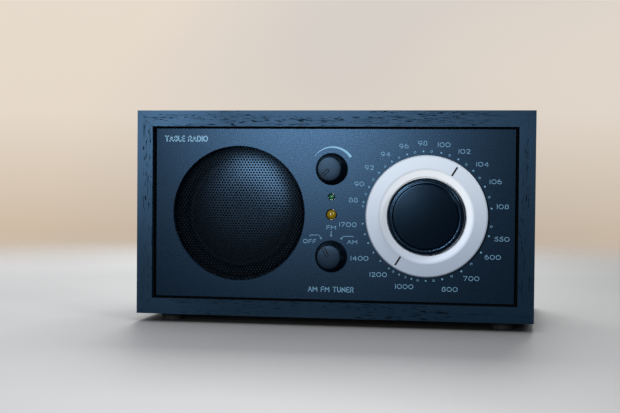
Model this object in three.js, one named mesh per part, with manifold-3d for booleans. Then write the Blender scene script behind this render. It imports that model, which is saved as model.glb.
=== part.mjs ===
// A table radio with a wooden cabinet: one loudspeaker, two small knobs, and a large tuning dial whose
// ring turns at a fifth of the speed of the knob in its middle, through planet gears.
//
// Millimetres, +Z up. The front faces -Y. The origin is under the middle of the whole radio, on the
// surface that its feet stand on. Inside the group "radio" the coordinates are simpler: x is measured
// from the cabinet's middle, y is the depth behind the cabinet's front edge, and z is the height above
// the cabinet's underside.
import * as THREE from "three";
import { mergeVertices } from "three/addons/utils/BufferGeometryUtils.js";
import Module from "manifold-3d";

const wasm = await Module();
wasm.setup();

// ---- Driving dimensions ----
const GAP = 0.3; // between pieces that touch on the real radio
const CABINET = { width: 212.7, depth: 120, height: 110, wall: 8.5 };
const KNOB_REACH = 6.6; // how far the small knobs stand ahead of the cabinet's front edge
const SOCKET_REACH = 6.75; // how far the aerial socket stands behind the cabinet's rear edge
const FEET = { radius: 6.5, taper: 0.8, height: 4.3, inset: 16 };
const FRONT_PANEL = { recess: 2.5, thickness: 3, sideGap: 1.6, endGap: 1.05 };
const REAR_PANEL = { recess: 3, thickness: 2.5, margin: 0.45 };
const RAIL = { width: 6.2, batten: 8, strip: 10 };
const PORT = { x: -15, depth: 62, bore: 10, wall: 2, top: 34, flange: 15 };
const SPEAKER = { x: -50.5, z: 55, opening: 36, rim: 40.2 };
const DIAL = { x: 50.4, z: 54.8, radius: 31.9 };
const KNOB = { base: 8.5, face: 6.1, volumeZ: 79.1, bandZ: 32.8 };
const SHAFT = 3; // radius of all three control shafts
const LEDS = [
  { name: "power_led", z: 64.3, radius: 1.5, colour: 0x5fae4c },
  { name: "tuning_led", z: 54.9, radius: 2.5, colour: 0xd89a3c },
];
const LENS = { lip: 0.5, lipFront: 5.8, lipBack: 6.8, back: 9.5 }; // the lip holds a lamp behind the panel
const GEAR = { module: 1, sun: 12, planet: 18, ring: 48, pressure: 25, addendum: 0.8, dedendum: 1.05 };
const GEARS_AT = { front: 10.6, back: 15.6 };
const BACKLASH = 0.15; // taken off every tooth at the pitch circle
const TURNS_AT_REST = { volume: -135, band: -30, dial: 31.8 }; // degrees clockwise from the top
const CAPACITOR = { front: 20, back: 46, half: 18, sheet: 1.5, vane: 14, vanes: 4 };
const SWITCH = { x: 45, z: 62, travel: 4.2, slider: 4.4 };
const ROUND = { large: 40, medium: 24, small: 14 }; // sides of a turned piece

const panelFront = FRONT_PANEL.recess;
const panelBack = panelFront + FRONT_PANEL.thickness;
const rearFace = CABINET.depth - REAR_PANEL.recess;
const rearInside = rearFace - REAR_PANEL.thickness;
const innerHalf = CABINET.width / 2 - CABINET.wall;
const innerFloor = CABINET.wall;
const innerCeiling = CABINET.height - CABINET.wall;
const overallDepth = KNOB_REACH + CABINET.depth + SOCKET_REACH;
const degrees = Math.PI / 180;

// ---- Materials ----
const material = (color, roughness, metalness = 0) =>
  new THREE.MeshStandardMaterial({ color, roughness, metalness });
const looks = {
  wood: material(0x2a3644, 0.55),
  blackenedWood: material(0x1c1d20, 0.85),
  panel: material(0x34465a, 0.6),
  blackPlastic: material(0x12161b, 0.5),
  blackMetal: material(0x101318, 0.45, 0.7),
  silver: material(0xd5dae0, 0.35, 0.6),
  steel: material(0x9aa0a6, 0.35, 0.9),
  brass: material(0xb08d4a, 0.35, 0.9),
  ferrite: material(0x2b2b2e, 0.7),
  paper: material(0x26241f, 0.9),
  rubber: material(0x141414, 0.9),
  gearPlastic: material(0xe4e0d2, 0.5),
  board: material(0x1f5a3a, 0.6),
  copper: material(0xa8623a, 0.45, 0.6),
};

// ---- Solids ----
// A closed three.js geometry as a solid that can be joined and cut.
function solid(geometry) {
  const bare = geometry.index ? geometry.toNonIndexed() : geometry.clone();
  bare.deleteAttribute("normal");
  bare.deleteAttribute("uv");
  const merged = mergeVertices(bare, 1e-4);
  const corners = merged.index.array;
  const kept = [];
  for (let i = 0; i < corners.length; i += 3) {
    const [a, b, c] = [corners[i], corners[i + 1], corners[i + 2]];
    if (a !== b && b !== c && c !== a) kept.push(a, b, c);
  }
  const data = {
    numProp: 3,
    vertProperties: merged.attributes.position.array,
    triVerts: new Uint32Array(kept),
  };
  return new wasm.Manifold(new wasm.Mesh(data));
}

function geometryOf(made) {
  const { vertProperties, triVerts } = made.getMesh();
  const geometry = new THREE.BufferGeometry();
  geometry.setAttribute("position", new THREE.BufferAttribute(vertProperties, 3));
  geometry.setIndex(new THREE.BufferAttribute(triVerts, 1));
  return geometry;
}

const joined = (...pieces) => pieces.reduce((all, next) => all.add(next));

// A solid turned about the Y axis. The profile lists [radius, depth] pairs.
function turned(profile, sides = ROUND.medium) {
  const points = profile.map(([r, y]) => new THREE.Vector2(r, y));
  if (points[0].x > 0 || points.at(-1).x > 0) points.push(points[0].clone());
  if (THREE.ShapeUtils.area(points) < 0) points.reverse();
  return solid(new THREE.LatheGeometry(points, sides));
}

// A flat outline, drawn as seen from the front, made into a plate between two depths.
function plate(shape, front, back, curveSegments = 8) {
  const options = { depth: back - front, bevelEnabled: false, curveSegments };
  const geometry = new THREE.ExtrudeGeometry(shape, options);
  return solid(geometry.rotateX(Math.PI / 2).translate(0, back, 0));
}

// A box given by its lowest and highest corners.
function block([x0, y0, z0], [x1, y1, z1]) {
  const geometry = new THREE.BoxGeometry(x1 - x0, y1 - y0, z1 - z0);
  return solid(geometry.translate((x0 + x1) / 2, (y0 + y1) / 2, (z0 + z1) / 2));
}

const circle = (radius, x = 0, z = 0) => new THREE.Path().absarc(x, z, radius, 0, 2 * Math.PI);
const outline = (points) => new THREE.Shape(points.map(([x, z]) => new THREE.Vector2(x, z)));
const rod = (radius, front, back, sides = ROUND.small) =>
  turned([[0, front], [radius, front], [radius, back], [0, back]], sides);
const tube = (outer, inner, front, back, sides = ROUND.small) =>
  turned([[inner, front], [outer, front], [outer, back], [inner, back]], sides);

// An outline with two straight sides and two half-round ends.
function stadium(width, height) {
  const [half, r] = [(width - height) / 2, height / 2];
  const shape = new THREE.Shape();
  shape.absarc(half, 0, r, -Math.PI / 2, Math.PI / 2);
  shape.absarc(-half, 0, r, Math.PI / 2, (3 * Math.PI) / 2);
  return shape;
}

// A hexagon of the given width across its flats.
function hexagon(acrossFlats) {
  const corner = acrossFlats / Math.sqrt(3);
  const corners = [0, 1, 2, 3, 4, 5].map((i) => (i * 60 + 30) * degrees);
  return outline(corners.map((a) => [corner * Math.cos(a), corner * Math.sin(a)]));
}

// ---- The scene graph ----
const root = new THREE.Group();
const radio = new THREE.Group();
radio.position.set(0, KNOB_REACH - overallDepth / 2, FEET.height);
root.add(radio);

function add(name, made, look, { x = 0, z = 0, turn = 0, into = radio } = {}) {
  const mesh = new THREE.Mesh(geometryOf(made), look);
  mesh.name = name;
  mesh.position.set(x, 0, z);
  mesh.rotation.y = turn;
  into.add(mesh);
}

// ---- Cabinet: four boards, mitred at the corners ----
function cabinetBoard(length) {
  const [half, back] = [length / 2 - GAP / Math.SQRT2, CABINET.wall];
  const corners = [[-half, 0], [half, 0], [half - back, -back], [back - half, -back]];
  return plate(outline(corners), 0, CABINET.depth);
}

function makeCabinet() {
  const { width, height, wall } = CABINET;
  const portHole = new THREE.CylinderGeometry(1, 1, 3 * wall, ROUND.medium).rotateX(Math.PI / 2);
  portHole.scale(PORT.bore + PORT.wall + GAP, PORT.bore + PORT.wall + GAP, 1);
  // The bottom board is made the right way up and turned over, so its hole is mirrored in x here.
  const hole = solid(portHole.translate(-PORT.x, PORT.depth, 0));
  const quarter = Math.PI / 2;
  add("cabinet_top", cabinetBoard(width), looks.wood, { z: height });
  add("cabinet_bottom", cabinetBoard(width).subtract(hole), looks.wood, { turn: Math.PI });
  for (const [name, side] of [["cabinet_left_side", -1], ["cabinet_right_side", 1]]) {
    const place = { x: (side * width) / 2, z: height / 2, turn: side * quarter };
    add(name, cabinetBoard(height), looks.wood, place);
  }
}

function makeFeet() {
  const { radius, taper, height, inset } = FEET;
  let number = 0;
  for (const y of [inset, CABINET.depth - inset])
    for (const side of [-1, 1]) {
      const shape = new THREE.CylinderGeometry(radius, radius - taper, height - GAP, ROUND.small);
      shape.rotateX(Math.PI / 2);
      shape.translate(side * (CABINET.width / 2 - inset), y, -(height + GAP) / 2);
      number += 1;
      add("foot_" + number, solid(shape), looks.rubber);
    }
}

// The rear panel's screws, one in each corner.
const SCREW = { shank: 1.4, head: 2.8, headHeight: 1.2, length: 8, inset: 8, slot: [1.6, 0.4, 0.8] };
const screwX = innerHalf - GAP - RAIL.width / 2;
const screwZ = [innerFloor + SCREW.inset, innerCeiling - SCREW.inset];

// A rail along each side wall: a batten behind the front panel and one ahead of the rear panel.
function makeRails() {
  const [front, back] = [panelBack + GAP, rearInside - GAP];
  const [low, high] = [innerFloor + GAP, innerCeiling - GAP];
  const middle = (low + high) / 2;
  for (const [name, side] of [["left_rail", -1], ["right_rail", 1]]) {
    const [inner, outer] = [innerHalf - GAP - RAIL.width, innerHalf - GAP].map((x) => x * side);
    const [x0, x1] = [Math.min(inner, outer), Math.max(inner, outer)];
    let rail = joined(
      block([x0, front, low], [x1, front + RAIL.batten, high]),
      block([x0, back - RAIL.batten, low], [x1, back, high]),
      block([x0, front, middle - RAIL.strip / 2], [x1, back, middle + RAIL.strip / 2]),
    );
    for (const z of screwZ) {
      const pilot = rod(SCREW.shank + GAP, back - RAIL.batten - 1, back + 1, 12);
      rail = rail.subtract(pilot.translate(side * screwX, 0, z));
    }
    add(name, rail, looks.blackenedWood);
  }
}

// ---- Front panel ----
const BUSH = 3.9; // outer radius of the threaded bushes that hold the two controls
const HUB = 5; // outer radius of the dial's hollow hub
const HUB_PLAY = 0.4; // between the hub and the panel
const bossInner = SPEAKER.opening + 1.7;
const bossBack = panelBack + 3.5;

function makeFrontPanel() {
  const x = innerHalf - FRONT_PANEL.sideGap;
  const [low, high] = [innerFloor + FRONT_PANEL.endGap, innerCeiling - FRONT_PANEL.endGap];
  const shape = outline([[-x, low], [x, low], [x, high], [-x, high]]);
  const holes = [
    [DIAL.x, DIAL.z, HUB + HUB_PLAY],
    [0, KNOB.volumeZ, BUSH + GAP],
    [0, KNOB.bandZ, BUSH + GAP],
    ...LEDS.map(({ z, radius }) => [0, z, radius + GAP]),
  ];
  for (const [cx, cz, r] of holes) shape.holes.push(circle(r, cx, cz));
  const boss = tube(SPEAKER.rim, bossInner, panelBack - 1, bossBack, ROUND.large);
  const opening = rod(SPEAKER.opening, panelFront - 1, panelBack + 1, ROUND.large);
  const panel = plate(shape, panelFront, panelBack)
    .subtract(opening.translate(SPEAKER.x, 0, SPEAKER.z))
    .add(boss.translate(SPEAKER.x, 0, SPEAKER.z));
  add("front_panel", panel, looks.panel);
}

// Two lamps with domed tips, between the small knobs.
function makeLeds() {
  const { lip, lipFront, lipBack, back } = LENS;
  for (const { name, z, radius, colour } of LEDS) {
    const tip = panelFront - 0.4 - radius / 2;
    const dome = [0, 45, 90].map((angle) => {
      const a = angle * degrees;
      return [radius * Math.sin(a), tip + radius * (1 - Math.cos(a))];
    });
    const body = [[radius, lipFront], [radius + lip, lipFront], [radius + lip, lipBack], [radius, lipBack]];
    const led = turned([...dome, ...body, [radius, back], [0, back]], 12);
    add(name, led, material(colour, 0.3), { z });
  }
}

// ---- Loudspeaker, all turned about its own axis ----
const speakerPlace = { x: SPEAKER.x, z: SPEAKER.z };

// The grille is a shallow dome of perforated sheet, clamped behind the opening.
function makeGrille() {
  const rimFront = panelBack + 0.4;
  const rise = 2.3;
  const sheet = 0.7;
  const radii = [0, 12, 24, 35.6];
  const rim = bossInner - GAP;
  const frontAt = (r) => rimFront - rise * (1 - (r / SPEAKER.opening) ** 2);
  const grille = turned([
    ...radii.map((r) => [r, frontAt(r)]),
    [rim, rimFront],
    [rim, rimFront + sheet],
    ...radii.toReversed().map((r) => [r, frontAt(r) + sheet]),
  ], ROUND.large);
  add("speaker_grille", grille, looks.blackMetal, speakerPlace);
}

// A pressed basket with six windows. Its flange rests on the boss of the front panel.
function makeBasket() {
  const sheet = 1.2;
  const seat = bossBack + GAP;
  const flange = { front: seat, back: seat + 1.5, inner: 33.2 };
  const ledge = { radius: 26.6, front: 26.3 }; // where the spider is held
  const neck = { radius: 12.5, front: 31.5 };
  let basket = turned([
    [flange.inner, flange.front],
    [SPEAKER.rim, flange.front],
    [SPEAKER.rim, flange.back],
    [36.2, flange.back],
    [ledge.radius + 2, ledge.front + sheet],
    [ledge.radius, ledge.front + sheet],
    [ledge.radius, neck.front + sheet],
    [neck.radius, neck.front + sheet],
    [neck.radius, neck.front],
    [ledge.radius - 1.3, neck.front],
    [ledge.radius - 1.3, ledge.front],
    [ledge.radius + 0.8, ledge.front],
    [34.6, flange.back],
    [flange.inner, flange.back],
  ]);
  const window = block([-6, 14, 20], [6, 24, 45]);
  for (let i = 0; i < 6; i++) basket = basket.subtract(window.rotate(0, i * 60 + 30, 0));
  add("speaker_basket", basket, looks.steel, speakerPlace);
}

// Front plate, ferrite ring and back plate with its pole, with the gap that the voice coil moves in.
function makeMagnet() {
  const [front, plateBack, ringBack, back] = [33, 37, 47.5, 52];
  const slot = { inner: 8.6, outer: 10.7, floor: 48 };
  const plateRadius = 24;
  const ringRadius = 27;
  const magnet = turned([
    [0, front], [slot.inner, front], [slot.inner, slot.floor], [slot.outer, slot.floor],
    [slot.outer, front], [plateRadius, front], [plateRadius, plateBack], [ringRadius, plateBack],
    [ringRadius, ringBack], [plateRadius, ringBack], [plateRadius, back], [0, back],
  ]);
  add("speaker_magnet", magnet, looks.ferrite, speakerPlace);
}

// The half-roll surround, in front of the basket's flange and glued to the cone's edge.
function makeSurround() {
  const sheet = 0.4;
  const roll = { outer: 35, inner: 28.4, rise: 2 };
  const edge = { inner: 26.4, outer: 37.2 };
  const middle = (roll.outer + roll.inner) / 2;
  const half = (roll.outer - roll.inner) / 2;
  const arc = (radius) => [0, 45, 90, 135, 180].map((angle) => {
    const a = angle * degrees;
    return [middle - radius * Math.cos(a), bossBack - sheet - (roll.rise * radius * Math.sin(a)) / half];
  });
  const surround = turned([
    [edge.inner, bossBack - sheet],
    ...arc(half),
    [edge.outer, bossBack - sheet],
    [edge.outer, bossBack],
    ...arc(half - sheet).toReversed().map(([r, y]) => [r, y + sheet]),
    [edge.inner, bossBack],
  ]);
  add("speaker_surround", surround, looks.rubber, speakerPlace);
}

// What moves: the paper cone with its dust cap and voice coil. The corrugated spider centres them.
function makeCone() {
  const front = bossBack + GAP;
  const neck = { radius: 10.2, front: 21.4, back: 22.4 };
  const cone = turned([[28.2, front], [28.2, front + 0.8], [neck.radius, neck.back],
    [neck.radius, neck.front], [26.6, front]]);
  add("speaker_cone", cone, looks.paper, speakerPlace);

  const cap = { radius: 10.8, rise: 4, rim: 19.6 };
  const outside = [0, 25, 50, 75].map((angle) => {
    const a = angle * degrees;
    return [cap.radius * Math.sin(a), cap.rim - cap.rise * Math.cos(a)];
  });
  const inside = outside.toReversed().map(([r, y]) => [r * 0.93, y + 0.7]);
  add("dust_cap", turned([...outside, ...inside]), looks.paper, speakerPlace);
  add("voice_coil", tube(10.1, 9.3, neck.back + 0.5, 42, ROUND.medium), looks.copper, speakerPlace);

  const sheet = 0.4;
  const wave = (y) => [10.6, 14, 17.4, 20.8, 24.2].map((r, i) => [r, y + (i % 2 ? 0.5 : -0.5)]);
  const rim = [[26.9, 25.6], [26.9, 25.6 + sheet]];
  const spider = turned([...wave(25.2), ...rim, ...wave(25.2 + sheet).toReversed()], ROUND.medium);
  add("speaker_spider", spider, looks.brass, speakerPlace);
}

// ---- Controls ----
// A round shaft with a flat along one side.
function flatShaft(front, back) {
  const start = Math.acos(0.75);
  const shape = new THREE.Shape().absarc(0, 0, SHAFT, start, 2 * Math.PI - start);
  return plate(shape, front, back, 8);
}

// One of the two small knobs, hollow behind, with its index groove pointing straight up.
function smallKnob() {
  const face = -KNOB_REACH;
  const back = panelFront - 0.4;
  const hollow = { radius: 6.7, floor: -1.2 };
  const boreFloor = face + 2.4;
  const groove = block([-0.55, face - 1, 0.6], [0.55, face + 0.6, KNOB.face + 1]);
  const knob = turned([
    [0, face + 0.25], [KNOB.face * 0.7, face + 0.2], [KNOB.face - 0.1, face],
    [KNOB.face + 0.35, face + 0.35], [KNOB.base, back - 0.9], [KNOB.base, back],
    [hollow.radius, back], [hollow.radius, hollow.floor], [SHAFT + GAP, hollow.floor],
    [SHAFT + GAP, boreFloor], [0, boreFloor],
  ]);
  return knob.subtract(groove);
}

// A potentiometer or switch behind the panel, its nut in front, and the shaft with its knob.
function makeControl({ z, knob, shaft, body, nut, turn }) {
  const bush = { front: -0.4, floor: 13.3 };
  const can = { radius: 8.2, front: panelBack + GAP, back: 15 };
  const housing = turned([
    [0, bush.floor], [SHAFT + GAP, bush.floor], [SHAFT + GAP, bush.front], [BUSH, bush.front],
    [BUSH, can.front], [can.radius, can.front], [can.radius, can.back], [0, can.back],
  ]);
  const lugs = [-4, 0, 4].map((x) => block([x - 0.8, 9, -11.5], [x + 0.8, 9.8, -7]));
  add(body, joined(housing, ...lugs), looks.steel, { z });

  const ring = hexagon(10.5);
  ring.holes.push(circle(BUSH + GAP));
  add(nut, plate(ring, 0.3, panelFront - GAP), looks.brass, { z });

  add(shaft, flatShaft(-3.8, 13), looks.steel, { z, turn: turn * degrees });
  add(knob, smallKnob(), looks.blackPlastic, { z, turn: turn * degrees });
}

// ---- Tuning: a knob, a sun gear on its shaft, three planets, and the dial on their carrier ----
// One involute gear outline. Teeth of an internal gear point inwards, so its flanks swap round.
function gearOutline(teeth, internal) {
  const pitch = (GEAR.module * teeth) / 2;
  const alpha = GEAR.pressure * degrees;
  const base = pitch * Math.cos(alpha);
  const [out, into] = internal ? [GEAR.dedendum, GEAR.addendum] : [GEAR.addendum, GEAR.dedendum];
  const tip = pitch + out * GEAR.module;
  const bottom = pitch - into * GEAR.module;
  const involute = (r) => {
    const angle = Math.acos(Math.min(1, base / r));
    return Math.tan(angle) - angle;
  };
  // Half the angle that the solid (or, on an internal gear, the space) takes up at the radius r.
  const slack = internal ? BACKLASH / 2 : -BACKLASH / 2;
  const halfAtPitch = ((Math.PI * GEAR.module) / 4 + slack) / pitch;
  const halfAt = (r) => halfAtPitch + involute(pitch) - involute(Math.max(r, base));
  const radii = internal ? [bottom, tip] : [bottom, pitch, tip];
  const points = [];
  for (let i = 0; i < teeth; i++) {
    const centre = (i / teeth) * 2 * Math.PI;
    for (const r of radii) points.push([centre - halfAt(r), r]);
    for (const r of radii.toReversed()) points.push([centre + halfAt(r), r]);
  }
  return points.map(([a, r]) => [r * Math.cos(a), r * Math.sin(a)]);
}

const carrierRadius = ((GEAR.sun + GEAR.planet) * GEAR.module) / 2;
const planetAngles = [90, 210, 330].map((a) => a * degrees);
// The sun has a tooth along +X. A planet in direction b then meshes with it when it is turned by this.
const planetPhase = (b) => b + Math.PI - Math.PI / GEAR.planet + (b * GEAR.sun) / GEAR.planet;
// The ring's spaces, in direction b, sit over a planet's teeth.
const ringPhase = (b) => b - ((b - planetPhase(b)) * GEAR.planet) / GEAR.ring;

function gear(teeth, bore, phase) {
  const shape = outline(gearOutline(teeth, false));
  shape.holes.push(circle(bore));
  const made = plate(shape, GEARS_AT.front, GEARS_AT.back, 8);
  return made.rotate(0, -phase / degrees, 0);
}

const knobBack = 0.6; // of the tuning knob

// A dished face with a groove round it. The knob is hollow behind, round the dial's hub.
function tuningKnob() {
  const face = -6;
  const groove = { inner: 17.6, outer: 18.1, floor: face + 0.6 };
  const radius = 20;
  const hollow = { radius: 18.4, floor: -3.6 };
  const boreFloor = -4;
  return turned([
    [0, face + 0.5], [9, face + 0.4], [groove.inner - 0.2, face], [groove.inner, groove.floor],
    [groove.outer, groove.floor], [groove.outer + 0.2, face], [radius - 0.7, face + 0.7],
    [radius, face + 1.5], [radius, knobBack], [hollow.radius, knobBack], [hollow.radius, hollow.floor],
    [HUB, hollow.floor], [HUB, knobBack - 0.4], [SHAFT + GAP, knobBack - 0.4],
    [SHAFT + GAP, boreFloor], [0, boreFloor],
  ], ROUND.large);
}

// The dial: a flat silver ring, a cove down to the knob, and a hollow hub through the panel.
function dialRing(hubBack) {
  const front = -0.6;
  const back = panelFront - 0.5;
  const coveFloor = knobBack + 0.4;
  return turned([
    [DIAL.radius, back], [DIAL.radius, front + 0.5], [DIAL.radius - 0.5, front], [24.3, front],
    [22.4, 0.2], [20.6, coveFloor], [SHAFT + GAP, coveFloor], [SHAFT + GAP, hubBack], [HUB, hubBack],
    [HUB, back],
  ], ROUND.large);
}

function makeTuning() {
  const into = new THREE.Group();
  into.position.set(DIAL.x, 0, DIAL.z);
  radio.add(into);
  const { front, back } = GEARS_AT;
  const discThickness = 2;
  const carrierFront = front - GAP - discThickness;
  add("tuning_knob", tuningKnob(), looks.blackPlastic, { into });
  add("tuning_shaft", rod(SHAFT, -3.7, back, ROUND.small), looks.steel, { into });
  add("sun_gear", gear(GEAR.sun, SHAFT + GAP, 0), looks.brass, { into });
  add("dial_ring", dialRing(carrierFront - GAP), looks.silver, { into });

  // The carrier: two discs joined by the three pins that the planets run on.
  const pinRadius = 2.2;
  const disc = carrierRadius + 3.5;
  const carrierBack = back + GAP + discThickness;
  let carrier = joined(
    tube(disc, SHAFT + GAP, carrierFront, front - GAP, ROUND.medium),
    tube(disc, SHAFT + GAP, back + GAP, carrierBack, ROUND.medium),
  );
  planetAngles.forEach((b, i) => {
    const [x, z] = [carrierRadius * Math.cos(b), carrierRadius * Math.sin(b)];
    carrier = carrier.add(rod(pinRadius, front - 1, back + 1, 16).translate(x, 0, z));
    const planet = gear(GEAR.planet, pinRadius + GAP, planetPhase(b));
    add("planet_gear_" + (i + 1), planet.translate(x, 0, z), looks.gearPlastic, { into });
  });
  add("planet_carrier", carrier, looks.steel, { into });

  // The fixed ring gear, held off the back of the front panel by a skirt.
  const ringOuter = 27.6;
  const skirtWall = 1.5;
  const rim = new THREE.Shape().absarc(0, 0, ringOuter, 0, 2 * Math.PI);
  rim.holes.push(outline(gearOutline(GEAR.ring, true)));
  const toothed = plate(rim, front, back, 18).rotate(0, -ringPhase(planetAngles[0]) / degrees, 0);
  const skirtOuter = ringOuter - 0.1;
  const skirt = tube(skirtOuter, skirtOuter - skirtWall, panelBack + GAP, front + 0.5, ROUND.medium);
  add("ring_gear", toothed.add(skirt), looks.gearPlastic, { into });

  makeCapacitor(into);
}

// The tuning capacitor: half-disc vanes on the rotor pass between the plates of the frame.
function makeCapacitor(into) {
  const { front, back, half, sheet, vane, vanes } = CAPACITOR;
  const pitch = (back - front - 2 * sheet) / (vanes + 0.5);
  const vaneAt = (i) => front + sheet + pitch * (i + 0.5);
  const thick = 0.9;
  const cheek = outline([[-half, -half], [half, -half], [half, half], [-half, half]]);
  cheek.holes.push(circle(SHAFT + GAP));
  let frame = joined(
    plate(cheek, front, front + sheet),
    plate(cheek, back - sheet, back),
    block([-half, front, -half], [half, back, -vane - 1]),
  );
  const rotorBits = [rod(SHAFT, GEARS_AT.back + 0.6, back - 0.5, ROUND.small)];
  const halfDisc = new THREE.Shape().absarc(0, 0, vane, Math.PI, 2 * Math.PI);
  for (let i = 0; i < vanes; i++)
    rotorBits.push(plate(halfDisc, vaneAt(i), vaneAt(i) + thick));
  for (let i = 0; i < vanes - 1; i++) {
    const y = vaneAt(i) + pitch / 2;
    const stator = block([-vane, y, -vane - 2], [vane, y + thick, 0]);
    frame = frame.add(stator.subtract(rod(SHAFT + 1.5, y - 1, y + 2, ROUND.small)));
  }
  add("capacitor_frame", frame, looks.steel, { into });
  const turn = TURNS_AT_REST.dial * degrees;
  add("capacitor_rotor", joined(...rotorBits), looks.brass, { into, turn });
}

// ---- Inside, behind the controls ----
function makeBoard() {
  const low = 15;
  const high = low + 1.6;
  const [x0, x1, y0, y1] = [5, 85, 24, 106];
  const corner = 5; // from the board's edges to the middle of a post
  const postHalf = 2.5;
  const post = (x, y) =>
    block([x - postHalf, y - postHalf, innerFloor + GAP], [x + postHalf, y + postHalf, low + 0.5]);
  const box = (x, y, w, d, h) => block([x, y, high - 0.5], [x + w, y + d, high + h]);
  const board = joined(
    block([x0, y0, low], [x1, y1, high]),
    ...[x0 + corner, x1 - corner].flatMap((x) => [y0 + corner, y1 - corner].map((y) => post(x, y))),
    ...[12, 22, 32].map((x) => box(x, 34, 7, 7, 9)), // intermediate-frequency cans
    box(60, 60, 12, 5, 3), // amplifier chip
    box(56, 70, 22, 3, 16), // its heat sink
    ...[14, 27].map((x) => box(x, 80, 9, 9, 14)), // smoothing capacitors
  );
  add("main_board", board, looks.board);
}

// Mains transformer: a stack of laminations with two windows, and the coil round its middle leg.
function makeTransformer() {
  const at = [-62, 88, innerFloor + GAP];
  const stack = { half: 22.5, halfDepth: 8, height: 38 };
  const window = { inner: 7.5, outer: 15, low: 8, high: 30 };
  const coil = { half: 14.7, halfDepth: 15.5, play: 0.3 };
  let core = block([-stack.half, -stack.halfDepth, 0], [stack.half, stack.halfDepth, stack.height]);
  const [width, past] = [window.outer - window.inner, stack.halfDepth + 1];
  for (const x of [-window.outer, window.inner])
    core = core.subtract(block([x, -past, window.low], [x + width, past, window.high]));
  add("transformer_core", core.translate(...at), looks.steel);
  const [legX, legY] = [window.inner + coil.play, stack.halfDepth + coil.play];
  const [low, high] = [window.low + coil.play, window.high - coil.play];
  const winding = block([-coil.half, -coil.halfDepth, low], [coil.half, coil.halfDepth, high]);
  const hollow = block([-legX, -legY, window.low], [legX, legY, window.high]);
  add("transformer_coil", winding.subtract(hollow).translate(...at), looks.copper);
}

// A ferrite rod aerial along X near the top, with its winding in the middle.
function makeAerial() {
  const [half, radius] = [60, 4.5];
  const winding = { half: 18, radius: 6 };
  const aerial = turned([
    [0, -half], [radius, -half], [radius, -winding.half], [winding.radius, -winding.half],
    [winding.radius, winding.half], [radius, winding.half], [radius, half], [0, half],
  ], ROUND.small);
  add("ferrite_antenna", aerial.rotate(0, 0, 90).translate(0, 102, 88), looks.ferrite);
}

// The duct through the bottom board, with a flange that rests on the board inside.
function makePort() {
  const { bore, wall, top, flange } = PORT;
  const outer = bore + wall;
  const mouth = 0.4; // above the underside
  const rest = innerFloor + GAP;
  const duct = turned([[bore, mouth], [outer, mouth], [outer, rest], [flange, rest],
    [flange, rest + 1.6], [outer, rest + 1.6], [outer, top], [bore, top]]);
  add("bass_port", duct.rotate(90, 0, 0).translate(PORT.x, PORT.depth, 0), looks.blackPlastic);
}

// ---- Rear panel and what is on it ----
const seatAt = rearFace + GAP; // where a flange rests on the panel
const MAINS = { x: -70, z: 24, floor: 108, width: 19.5, height: 10.5 };
MAINS.flange = [MAINS.width + 5, MAINS.height + 4];
MAINS.recess = [16.2, 8];
const MAINS_PIN = { radius: 1.2, spacing: 8.6 };
const JACKS = [
  { name: "headphone_socket", x: 8 },
  { name: "record_socket", x: 27 },
  { name: "aux_socket", x: 46 },
];
const JACK = { z: 24, radius: 3.2, bore: 1.85, flange: 4.2, front: 104, floor: 105.5 };
const DC = { x: -40, z: 24, radius: 4, bore: 2.9, pin: 1.05, flange: 5.6, front: 104, floor: 107 };
const AERIAL = { x: 72, z: 62, radius: 4.75, bore: 0.9, boreDepth: 7, nut: 11, nutHeight: 2, front: 108 };
const slotHalf = (SWITCH.slider + SWITCH.travel) / 2 + GAP;

function makeRearPanel() {
  const x = innerHalf - REAR_PANEL.margin;
  const [low, high] = [innerFloor + REAR_PANEL.margin, innerCeiling - REAR_PANEL.margin];
  const shape = outline([[-x, low], [x, low], [x, high], [-x, high]]);
  const holes = [
    ...JACKS.map((jack) => [JACK.radius, jack.x, JACK.z]),
    [DC.radius, DC.x, DC.z],
    [AERIAL.radius, AERIAL.x, AERIAL.z],
    ...[-screwX, screwX].flatMap((sx) => screwZ.map((sz) => [SCREW.shank, sx, sz])),
  ];
  for (const [radius, cx, cz] of holes) shape.holes.push(circle(radius + GAP, cx, cz));
  const [front, back] = [rearInside - 1, rearFace + 1];
  const inletHole = stadium(MAINS.width + 2 * GAP, MAINS.height + 2 * GAP);
  const inletCut = plate(inletHole, front, back).translate(MAINS.x, 0, MAINS.z);
  const slot = block([-slotHalf, front, -2], [slotHalf, back, 2]).translate(SWITCH.x, 0, SWITCH.z);
  const panel = plate(shape, rearInside, rearFace).subtract(inletCut).subtract(slot);
  add("rear_panel", panel, looks.blackPlastic);
}

// Mains inlet for a figure-eight plug, with its two pins.
function makeMainsInlet() {
  const { x, z, width, height, flange, recess, floor } = MAINS;
  const inlet = joined(
    plate(stadium(width, height), floor - 2, seatAt + 0.5),
    plate(stadium(...flange), seatAt, seatAt + 1.5),
  ).subtract(plate(stadium(...recess), floor, seatAt + 3));
  add("mains_inlet", inlet, looks.blackPlastic, { x, z });
  [-1, 1].forEach((side, i) => {
    const pin = rod(MAINS_PIN.radius, floor + GAP, seatAt - 1, 16);
    add("mains_pin_" + (i + 1), pin, looks.brass, { x: x + (side * MAINS_PIN.spacing) / 2, z });
  });
}

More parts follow.
